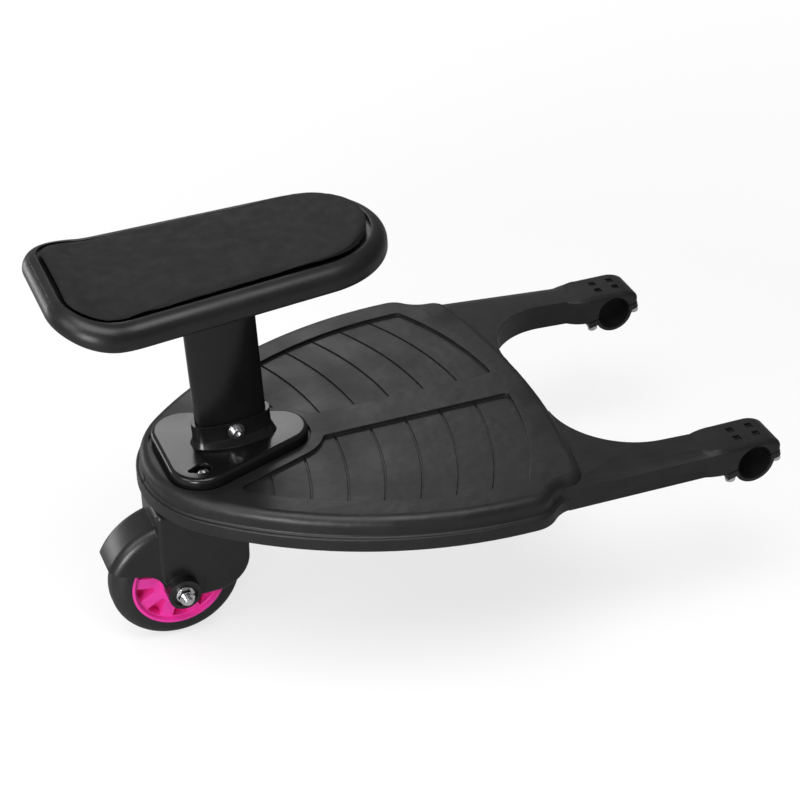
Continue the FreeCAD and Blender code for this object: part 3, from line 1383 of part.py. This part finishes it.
def build():
    pieces = {
        "deck": deck(),
        "seat_base": seat_base(),
        "seat_base_screws": seat_base_screws(),
        "seat_base_washers": seat_base_washers(),
        "seat_base_nuts": seat_base_nuts(),
        "seat_post": seat_post(),
        "seat_lock_screw": seat_lock_screw(),
        "seat_lock_washers": seat_lock_washers(),
        "seat_lock_nut": seat_lock_nut(),
        "seat_pan": seat_pan(),
        "seat_pan_screws": seat_pan_screws(),
        "seat_pad": seat_pad(),
        "caster_fork": caster_fork(),
        "kingpin": kingpin(),
        "kingpin_washer": kingpin_washer(),
        "kingpin_nut": kingpin_nut(),
        "swivel_bush": swivel_bush(),
        "thrust_washer": thrust_washer(),
        "wheel_hub": wheel_hub(),
        "tyre": tyre(),
        "wheel_bearings": wheel_bearings(),
        "bearing_spacer": bearing_spacer(),
        "axle_spacers": axle_spacers(),
        "axle_washers": axle_washers(),
        "axle_bolt": axle_bolt(),
        "axle_nut": axle_nut(),
    }
    for name, hand in SIDES:
        pieces["clamp_cap_" + name] = clamp_cap(hand)
        pieces["clamp_liner_upper_" + name] = clamp_liner(hand, True)
        pieces["clamp_liner_lower_" + name] = clamp_liner(hand, False)
        pieces["clamp_bolts_" + name] = clamp_bolts(hand)
        pieces["clamp_inserts_" + name] = clamp_inserts(hand)
    return pieces


def main():
    os.makedirs("parts", exist_ok=True)
    pieces = build()
    rear = pieces["seat_pan"].optimalBoundingBox().XMin
    front = pieces["clamp_bolts_left"].optimalBoundingBox().XMax
    shift = vec(-(rear + front) / 2, 0, AXLE_DROP + WHEEL_RADIUS)
    for name, shape in pieces.items():
        shape.translate(shift)
        shape.exportStep(os.path.join("parts", name + ".step"))
    print("origin shift", [round(value, 4) for value in shift])


main()
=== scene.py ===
import json
import math

import bpy
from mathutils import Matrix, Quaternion, Vector


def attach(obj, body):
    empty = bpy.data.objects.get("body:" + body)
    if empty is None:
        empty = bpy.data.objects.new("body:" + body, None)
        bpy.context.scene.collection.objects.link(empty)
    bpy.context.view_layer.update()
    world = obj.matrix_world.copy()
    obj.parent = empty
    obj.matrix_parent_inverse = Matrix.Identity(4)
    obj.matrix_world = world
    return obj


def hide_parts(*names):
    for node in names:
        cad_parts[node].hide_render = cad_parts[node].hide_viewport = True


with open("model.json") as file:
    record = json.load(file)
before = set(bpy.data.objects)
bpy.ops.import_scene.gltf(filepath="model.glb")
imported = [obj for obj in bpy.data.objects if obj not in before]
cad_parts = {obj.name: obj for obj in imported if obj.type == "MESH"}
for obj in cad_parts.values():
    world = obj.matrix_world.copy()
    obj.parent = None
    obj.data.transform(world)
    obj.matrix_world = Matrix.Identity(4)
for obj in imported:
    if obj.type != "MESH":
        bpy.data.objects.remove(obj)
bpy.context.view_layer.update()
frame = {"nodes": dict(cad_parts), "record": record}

NODES = frame["nodes"]

# Camera, in metres and degrees, set from the photograph's perspective
CAMERA_AIM = (0.005017, 0.0, 0.1908)
CAMERA_AZIMUTH = -21.91
CAMERA_ELEVATION = 33.95
CAMERA_ROLL = -0.28
CAMERA_DISTANCE = 1.866
CAMERA_LENS = 93.4
CAMERA_SENSOR = 36.0

# Seat pad: metres
PAD_VOXEL = 0.002
PAD_SHRINK = 0.0028
PAD_LIFT = 0.0026
PAD_LIFT_RUN = 0.09
PAD_SWELL = 0.0012
PAD_PRESSURE = 4.0
PAD_TENSION = 40.0
PAD_BENDING = 6.0
PAD_FRAMES = 20
PAD_SMOOTHING = 5

# Studio: metres, and light levels where 1 is white
FLOOR_SIZE = 28.0
FLOOR_GREY = (0.33, 0.33, 0.33)
FLOOR_GLOW = 0.7
FLOOR_NEAR = 0.7
FLOOR_FAR = 3.0
FLOOR_MIRROR = 0.12
STUDIO_SIDE = (-0.7, 0.4, 0.6)
STUDIO_DIM = 0.08
STUDIO_BRIGHT = 0.4
STUDIO_MIRROR = 0.15

# Lights: name, place, aim and size in metres, and power in watts
BOARD_MIDDLE = (0.0, 0.0, 0.2)
WHEEL_MIDDLE = (-0.2, 0.0, 0.08)
LIGHTS = (
    ("top_softbox", (-0.3, -0.6, 1.95), BOARD_MIDDLE, (1.4, 1.1), 22.0),
    ("far_softbox", (0.25, 1.5, 1.25), BOARD_MIDDLE, (0.7, 0.5), 4.0),
    ("key_softbox", (-1.5, -0.4, 1.2), BOARD_MIDDLE, (0.8, 0.8), 7.0),
    ("rear_softbox", (-1.1, 1.2, 0.2), WHEEL_MIDDLE, (0.8, 0.36), 3.5),
    ("wheel_softbox", (-1.5, -1.5, 0.5), WHEEL_MIDDLE, (0.7, 0.7), 24.0),
)

# Colours
BLACK = (0.009, 0.009, 0.0094)
FOAM_BLACK = (0.0115, 0.0115, 0.012)
TYRE_BLACK = (0.015, 0.015, 0.016)
# Liner colour is darker than the rubber's own, with low specular: painted shade inside the clamp bores
LINER_SHADE_BLACK = (0.004, 0.004, 0.004)
PINK = (1.0, 0.042, 0.39)
NATURAL = (0.5, 0.5, 0.48)
ZINC = (0.8, 0.8, 0.82)
STEEL = (0.6, 0.6, 0.62)
BRASS = (0.72, 0.5, 0.2)

# Range in which a noise's value mostly lies
NOISE_LOW = 0.3
NOISE_HIGH = 0.7

# Smoothing of the solids' facets
SMOOTH_ANGLE = math.radians(32)
WELD_DISTANCE = 1e-6


# Node helpers


def new_tree(name):
    """Empty material with a principled shader, its tree and that shader."""
    material = bpy.data.materials.new(name)
    material.use_nodes = True
    tree = material.node_tree
    return material, tree, tree.nodes["Principled BSDF"]


def add(tree, kind, **values):
    """New node with its properties set."""
    node = tree.nodes.new(kind)
    for key, value in values.items():
        setattr(node, key, value)
    return node


def place(tree, stretch=(1, 1, 1)):
    """Coordinates on the object in metres, stretched along its axes."""
    source = add(tree, "ShaderNodeTexCoord")
    mapping = add(tree, "ShaderNodeMapping")
    mapping.inputs["Scale"].default_value = stretch
    tree.links.new(source.outputs["Object"], mapping.inputs["Vector"])
    return mapping.outputs["Vector"]


def noise(tree, scale, detail=3.0, stretch=(1, 1, 1)):
    node = add(tree, "ShaderNodeTexNoise")
    node.inputs["Scale"].default_value = scale
    node.inputs["Detail"].default_value = detail
    tree.links.new(place(tree, stretch), node.inputs["Vector"])
    return node.outputs["Fac"]


def remap(tree, value, low, high, to_low, to_high):
    node = add(tree, "ShaderNodeMapRange")
    for key, number in (("From Min", low), ("From Max", high), ("To Min", to_low), ("To Max", to_high)):
        node.inputs[key].default_value = number
    tree.links.new(value, node.inputs["Value"])
    return node.outputs["Result"]


def combine(tree, operation, first, second):
    node = add(tree, "ShaderNodeMath", operation=operation)
    tree.links.new(first, node.inputs[0])
    tree.links.new(second, node.inputs[1])
    return node.outputs["Value"]


def blend_colours(tree, factor, first, second):
    """Mix of two colours, each a tuple or another node's output."""
    node = add(tree, "ShaderNodeMix", data_type="RGBA")
    tree.links.new(factor, node.inputs["Factor"])
    for key, colour in (("A", first), ("B", second)):
        socket = [s for s in node.inputs if s.name == key and s.type == "RGBA"][0]
        if isinstance(colour, tuple):
            socket.default_value = (*colour, 1.0)
        else:
            tree.links.new(colour, socket)
    return [s for s in node.outputs if s.type == "RGBA"][0]


def rounded_normal(tree, radius):
    """Normal that turns softly over hard edges."""
    node = add(tree, "ShaderNodeBevel", samples=6)
    node.inputs["Radius"].default_value = radius
    return node.outputs["Normal"]


def edge_mask(tree, radius):
    """One along hard edges, nought on flat stretches."""
    soft = rounded_normal(tree, radius)
    plain = add(tree, "ShaderNodeNewGeometry").outputs["Normal"]
    dot = add(tree, "ShaderNodeVectorMath", operation="DOT_PRODUCT")
    tree.links.new(soft, dot.inputs[0])
    tree.links.new(plain, dot.inputs[1])
    return remap(tree, dot.outputs["Value"], 0.995, 0.85, 0.0, 1.0)


def bump(tree, height, strength, distance, normal=None):
    node = add(tree, "ShaderNodeBump")
    node.inputs["Strength"].default_value = strength
    node.inputs["Distance"].default_value = distance
    tree.links.new(height, node.inputs["Height"])
    if normal is not None:
        tree.links.new(normal, node.inputs["Normal"])
    return node.outputs["Normal"]


def scaled(colour, factor):
    return tuple(min(1.0, channel * factor) for channel in colour)


# Materials


def moulded_plastic(name, colour, roughness, grain, edge=0.0006, wear=0.25, specular=0.5, hammer=0.0):
    """Moulded plastic: mottled tint, spark-eroded grain, uneven gloss and rubbed edges."""
    material, tree, shader = new_tree(name)
    tint = remap(tree, noise(tree, 45.0, 4.0), NOISE_LOW, NOISE_HIGH, 0.0, 1.0)
    base = blend_colours(tree, tint, scaled(colour, 0.85), scaled(colour, 1.2))
    patches = remap(tree, noise(tree, 160.0, 4.0), 0.42, 0.62, 0.0, wear)
    rubbed = combine(tree, "MULTIPLY", edge_mask(tree, 0.0012), patches)
    tree.links.new(blend_colours(tree, rubbed, base, scaled(colour, 3.2)), shader.inputs["Base Color"])
    gloss = remap(tree, noise(tree, 22.0, 5.0), NOISE_LOW, NOISE_HIGH, roughness * 0.85, roughness * 1.18)
    tree.links.new(gloss, shader.inputs["Roughness"])
    shader.inputs["Specular IOR Level"].default_value = specular
    normal = rounded_normal(tree, edge)
    if hammer:
        normal = bump(tree, noise(tree, 75.0, 1.0), hammer, 0.001, normal)
    pits = noise(tree, 1500.0, 2.0)
    tree.links.new(bump(tree, pits, grain, 0.0002, normal), shader.inputs["Normal"])
    return material


def tread_plastic(name, colour, roughness):
    """Deck plastic with the fine scuffs of a surface that is stood on."""
    material = moulded_plastic(name, colour, roughness, 0.12, edge=0.0009, wear=0.3, specular=0.4, hammer=0.4)
    tree = material.node_tree
    shader = tree.nodes["Principled BSDF"]
    scuffs = remap(tree, noise(tree, 30.0, 6.0, (1.0, 9.0, 3.0)), 0.56, 0.7, 0.0, 0.35)
    old = shader.inputs["Base Color"].links[0].from_socket
    tree.links.new(blend_colours(tree, scuffs, old, scaled(colour, 1.9)), shader.inputs["Base Color"])
    return material


def foam(name, colour):
    """Close-celled foam cover: matte, pebbled and a little sheeny at grazing angles."""
    material, tree, shader = new_tree(name)
    tint = remap(tree, noise(tree, 26.0, 4.0), NOISE_LOW, NOISE_HIGH, 0.0, 1.0)
    base = blend_colours(tree, tint, scaled(colour, 0.9), scaled(colour, 1.12))
    tree.links.new(base, shader.inputs["Base Color"])
    pebbles = add(tree, "ShaderNodeTexVoronoi", feature="SMOOTH_F1")
    pebbles.inputs["Scale"].default_value = 620.0
    tree.links.new(place(tree), pebbles.inputs["Vector"])
    tree.links.new(bump(tree, pebbles.outputs["Distance"], 0.18, 0.0003), shader.inputs["Normal"])
    gloss = remap(tree, noise(tree, 90.0), NOISE_LOW, NOISE_HIGH, 0.62, 0.78)
    tree.links.new(gloss, shader.inputs["Roughness"])
    shader.inputs["Specular IOR Level"].default_value = 0.2
    shader.inputs["Sheen Weight"].default_value = 0.03
    shader.inputs["Sheen Roughness"].default_value = 0.5
    return material


def rubber(name, colour, roughness, specular=0.4):
    """Rubber: bloom in patches and a fine pitted skin."""
    material, tree, shader = new_tree(name)
    bloom = remap(tree, noise(tree, 38.0, 6.0), 0.45, 0.75, 0.0, 0.5)
    tree.links.new(blend_colours(tree, bloom, colour, scaled(colour, 1.8)), shader.inputs["Base Color"])
    gloss = remap(tree, noise(tree, 70.0), NOISE_LOW, NOISE_HIGH, roughness * 0.9, roughness * 1.1)
    tree.links.new(gloss, shader.inputs["Roughness"])
    skin = bump(tree, noise(tree, 1100.0, 3.0), 0.2, 0.0002, rounded_normal(tree, 0.0005))
    tree.links.new(skin, shader.inputs["Normal"])
    shader.inputs["Specular IOR Level"].default_value = specular
    return material


def plated_metal(name, colour, roughness):
    """Plated or ground metal: turning marks, faint stains and bright edges."""
    material, tree, shader = new_tree(name)
    stain = remap(tree, noise(tree, 240.0, 4.0), 0.35, 0.7, 0.0, 0.6)
    tree.links.new(blend_colours(tree, stain, colour, scaled(colour, 0.72)), shader.inputs["Base Color"])
    shader.inputs["Metallic"].default_value = 1.0
    marks = noise(tree, 900.0, 3.0, (1.0, 0.15, 1.0))
    gloss = remap(tree, marks, NOISE_LOW, NOISE_HIGH, roughness * 0.7, roughness * 1.4)
    tree.links.new(gloss, shader.inputs["Roughness"])
    tree.links.new(bump(tree, marks, 0.06, 0.0001, rounded_normal(tree, 0.0004)), shader.inputs["Normal"])
    return material


def make_materials():
    return {
        "deck_plastic": tread_plastic("deck_plastic", scaled(BLACK, 1.15), 0.42),
        "base_plastic": moulded_plastic("base_plastic", scaled(BLACK, 0.7), 0.2, 0.01, specular=0.42),
        "shell_plastic": moulded_plastic("shell_plastic", BLACK, 0.34, 0.06, specular=0.4),
        "pad_foam": foam("pad_foam", FOAM_BLACK),
        "fork_plastic": moulded_plastic("fork_plastic", BLACK, 0.32, 0.08),
        "hub_plastic": moulded_plastic("hub_plastic", PINK, 0.35, 0.04, wear=0.05),
        "tyre_rubber": rubber("tyre_rubber", TYRE_BLACK, 0.5),
        # Liner colour and specular held below the rubber's own: painted shade inside the clamp bores
        "liner_rubber": rubber("liner_rubber", LINER_SHADE_BLACK, 0.8, specular=0.1),
        "zinc_steel": plated_metal("zinc_steel", ZINC, 0.2),
        "bearing_steel": plated_metal("bearing_steel", STEEL, 0.3),
        "bearing_plastic": moulded_plastic("bearing_plastic", NATURAL, 0.5, 0.05, wear=0.05),
        "insert_brass": plated_metal("insert_brass", BRASS, 0.3),
    }


def dress(obj, material):
    obj.data.materials.clear()
    obj.data.materials.append(material)


# Smooth shading of the solids


def smoothing_group():
    """Geometry nodes that weld a solid's facets and shade them smooth up to an angle."""
    group = bpy.data.node_groups.new("smooth_facets", "GeometryNodeTree")
    group.interface.new_socket("Geometry", in_out="INPUT", socket_type="NodeSocketGeometry")
    group.interface.new_socket("Geometry", in_out="OUTPUT", socket_type="NodeSocketGeometry")
    start = add(group, "NodeGroupInput")
    end = add(group, "NodeGroupOutput")
    weld = add(group, "GeometryNodeMergeByDistance")
    weld.inputs["Distance"].default_value = WELD_DISTANCE
    faces = add(group, "GeometryNodeSetShadeSmooth", domain="FACE")
    faces.inputs["Shade Smooth"].default_value = True
    edges = add(group, "GeometryNodeSetShadeSmooth", domain="EDGE")
    edges.inputs["Shade Smooth"].default_value = False
    angle = add(group, "GeometryNodeInputMeshEdgeAngle")
    sharp = add(group, "FunctionNodeCompare", data_type="FLOAT", operation="GREATER_THAN")
    sharp.inputs["B"].default_value = SMOOTH_ANGLE
    group.links.new(angle.outputs["Unsigned Angle"], sharp.inputs["A"])
    group.links.new(sharp.outputs["Result"], edges.inputs["Selection"])
    group.links.new(start.outputs["Geometry"], weld.inputs["Geometry"])
    group.links.new(weld.outputs["Geometry"], faces.inputs["Geometry"])
    group.links.new(faces.outputs["Geometry"], edges.inputs["Geometry"])
    group.links.new(edges.outputs["Geometry"], end.inputs["Geometry"])
    return group


def dress_solids(materials):
    group = smoothing_group()
    for row in frame["record"]["subparts"]:
        solid = NODES[row["node"]]
        dress(solid, materials[row["material_slot"]])
        modifier = solid.modifiers.new("smooth_facets", "NODES")
        modifier.node_group = group


# Seat pad


def pad_blank():
    """Even mesh on the pad's solid, drawn in to leave room for its swelling and stood proud of the pan."""
    source = NODES["seat_pad"]
    mesh = source.data.copy()
    mesh.name = "seat_cushion"
    pad = bpy.data.objects.new("seat_cushion", mesh)
    bpy.context.scene.collection.objects.link(pad)
    mesh.normals_split_custom_set([(0, 0, 0)] * len(mesh.loops))
    apply_modifier(pad, "WELD", merge_threshold=WELD_DISTANCE)
    apply_modifier(pad, "REMESH", mode="VOXEL", voxel_size=PAD_VOXEL, use_smooth_shade=True)
    apply_modifier(pad, "SHRINKWRAP", target=source, wrap_method="NEAREST_SURFACEPOINT")
    mesh = pad.data
    normals = [vertex.normal.copy() for vertex in mesh.vertices]
    rear = min(vertex.co.x for vertex in mesh.vertices)
    for vertex, normal in zip(mesh.vertices, normals):
        lift = PAD_LIFT * min(1.0, (vertex.co.x - rear) / PAD_LIFT_RUN)
        vertex.co += Vector((0.0, 0.0, lift)) - normal * PAD_SHRINK
    return pad


def apply_modifier(obj, kind, **values):
    """Adds a modifier and makes its result the object's mesh."""
    modifier = obj.modifiers.new(kind.lower(), kind)
    for key, value in values.items():
        setattr(modifier, key, value)
    bake_mesh(obj)


def bake_mesh(obj):
    """Replaces an object's mesh by the evaluated one, with no modifier left on it."""
    graph = bpy.context.evaluated_depsgraph_get()
    mesh = bpy.data.meshes.new_from_object(obj.evaluated_get(graph))
    obj.modifiers.clear()
    obj.data = mesh


def swell(pad):
    """Pressure simulation on the blank, its movement capped, so that the foam fills its cover."""
    rest = [vertex.co.copy() for vertex in pad.data.vertices]
    cloth = pad.modifiers.new("cloth", "CLOTH")
    settings = cloth.settings
    settings.use_pressure = True
    settings.uniform_pressure_force = PAD_PRESSURE
    settings.effector_weights.gravity = 0.0
    settings.tension_stiffness = PAD_TENSION
    settings.bending_stiffness = PAD_BENDING
    scene = bpy.context.scene
    for number in range(1, PAD_FRAMES + 1):
        scene.frame_set(number)
    bake_mesh(pad)
    scene.frame_set(1)
    for vertex, start in zip(pad.data.vertices, rest):
        step = vertex.co - start
        if step.length > PAD_SWELL:
            vertex.co = start + step * (PAD_SWELL / step.length)


def make_pad(materials):
    pad = pad_blank()
    swell(pad)
    apply_modifier(pad, "SMOOTH", factor=0.5, iterations=PAD_SMOOTHING)
    for polygon in pad.data.polygons:
        polygon.use_smooth = True
    dress(pad, materials["pad_foam"])
    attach(pad, "board")
    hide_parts("seat_pad")


# Studio


def seen_rays(tree, *names):
    """One for rays of the named kinds."""
    path = add(tree, "ShaderNodeLightPath")
    seen = path.outputs[names[0]]
    for name in names[1:]:
        seen = combine(tree, "MAXIMUM", seen, path.outputs[name])
    return seen


def make_floor():
    """Pale floor that keeps the shadow near the object and is white to the eye far from it."""
    mesh = bpy.data.meshes.new("floor")
    half = FLOOR_SIZE / 2
    corners = [(-half, -half, 0), (half, -half, 0), (half, half, 0), (-half, half, 0)]
    mesh.from_pydata(corners, [], [(0, 1, 2, 3)])
    floor = bpy.data.objects.new("floor", mesh)
    bpy.context.scene.collection.objects.link(floor)
    material, tree, shader = new_tree("floor")
    shader.inputs["Base Color"].default_value = (*FLOOR_GREY, 1.0)
    shader.inputs["Roughness"].default_value = 0.9
    shader.inputs["Specular IOR Level"].default_value = 0.0
    shader.inputs["Emission Color"].default_value = (1.0, 1.0, 1.0, 1.0)
    away = add(tree, "ShaderNodeVectorMath", operation="LENGTH")
    tree.links.new(place(tree), away.inputs[0])
    glow = remap(tree, away.outputs["Value"], FLOOR_NEAR, FLOOR_FAR, FLOOR_GLOW, 1.0)
    seen = combine(tree, "MULTIPLY", seen_rays(tree, "Is Camera Ray", "Is Transmission Ray"), glow)
    mirrored = remap(tree, seen_rays(tree, "Is Glossy Ray"), 0.0, 1.0, 0.0, FLOOR_MIRROR)
    tree.links.new(combine(tree, "MAXIMUM", seen, mirrored), shader.inputs["Emission Strength"])
    dress(floor, material)


def make_world():
    """White to the eye; for the rest a studio that is bright above and behind the seat and dim in front."""
    world = bpy.data.worlds.new("studio")
    world.use_nodes = True
    bpy.context.scene.world = world
    tree = world.node_tree
    background = tree.nodes["Background"]
    background.inputs["Color"].default_value = (1.0, 1.0, 1.0, 1.0)
    side = add(tree, "ShaderNodeVectorMath", operation="DOT_PRODUCT")
    tree.links.new(add(tree, "ShaderNodeTexCoord").outputs["Generated"], side.inputs[0])
    side.inputs[1].default_value = Vector(STUDIO_SIDE).normalized()
    studio = remap(tree, side.outputs["Value"], -0.5, 0.9, STUDIO_DIM, STUDIO_BRIGHT)
    mirrored = remap(tree, seen_rays(tree, "Is Glossy Ray"), 0.0, 1.0, 0.0, STUDIO_MIRROR)
    seen = seen_rays(tree, "Is Camera Ray", "Is Transmission Ray")
    level = combine(tree, "MAXIMUM", seen, combine(tree, "MAXIMUM", studio, mirrored))
    tree.links.new(level, background.inputs["Strength"])


def make_light(name, place_at, aim, size, power):
    data = bpy.data.lights.new(name, "AREA")
    data.shape = "RECTANGLE"
    data.size, data.size_y = size
    data.energy = power
    light = bpy.data.objects.new(name, data)
    light.location = place_at
    light.rotation_mode = "QUATERNION"
    light.rotation_quaternion = (Vector(aim) - Vector(place_at)).to_track_quat("-Z", "Y")
    bpy.context.scene.collection.objects.link(light)


def make_camera():
    azimuth = math.radians(CAMERA_AZIMUTH)
    elevation = math.radians(CAMERA_ELEVATION)
    back = Vector((
        math.sin(azimuth) * math.cos(elevation),
        -math.cos(azimuth) * math.cos(elevation),
        math.sin(elevation),
    ))
    data = bpy.data.cameras.new("camera")
    data.lens = CAMERA_LENS
    data.sensor_width = CAMERA_SENSOR
    data.clip_end = 100.0
    camera = bpy.data.objects.new("camera", data)
    camera.location = Vector(CAMERA_AIM) + back * CAMERA_DISTANCE
    camera.rotation_mode = "QUATERNION"
    level = (-back).to_track_quat("-Z", "Y")
    camera.rotation_quaternion = Quaternion(back, math.radians(CAMERA_ROLL)) @ level
    bpy.context.scene.collection.objects.link(camera)
    bpy.context.scene.camera = camera


def main():
    materials = make_materials()
    dress_solids(materials)
    make_pad(materials)
    make_floor()
    make_world()
    for row in LIGHTS:
        make_light(*row)
    make_camera()
    bpy.context.scene.view_settings.view_transform = "Standard"


main()
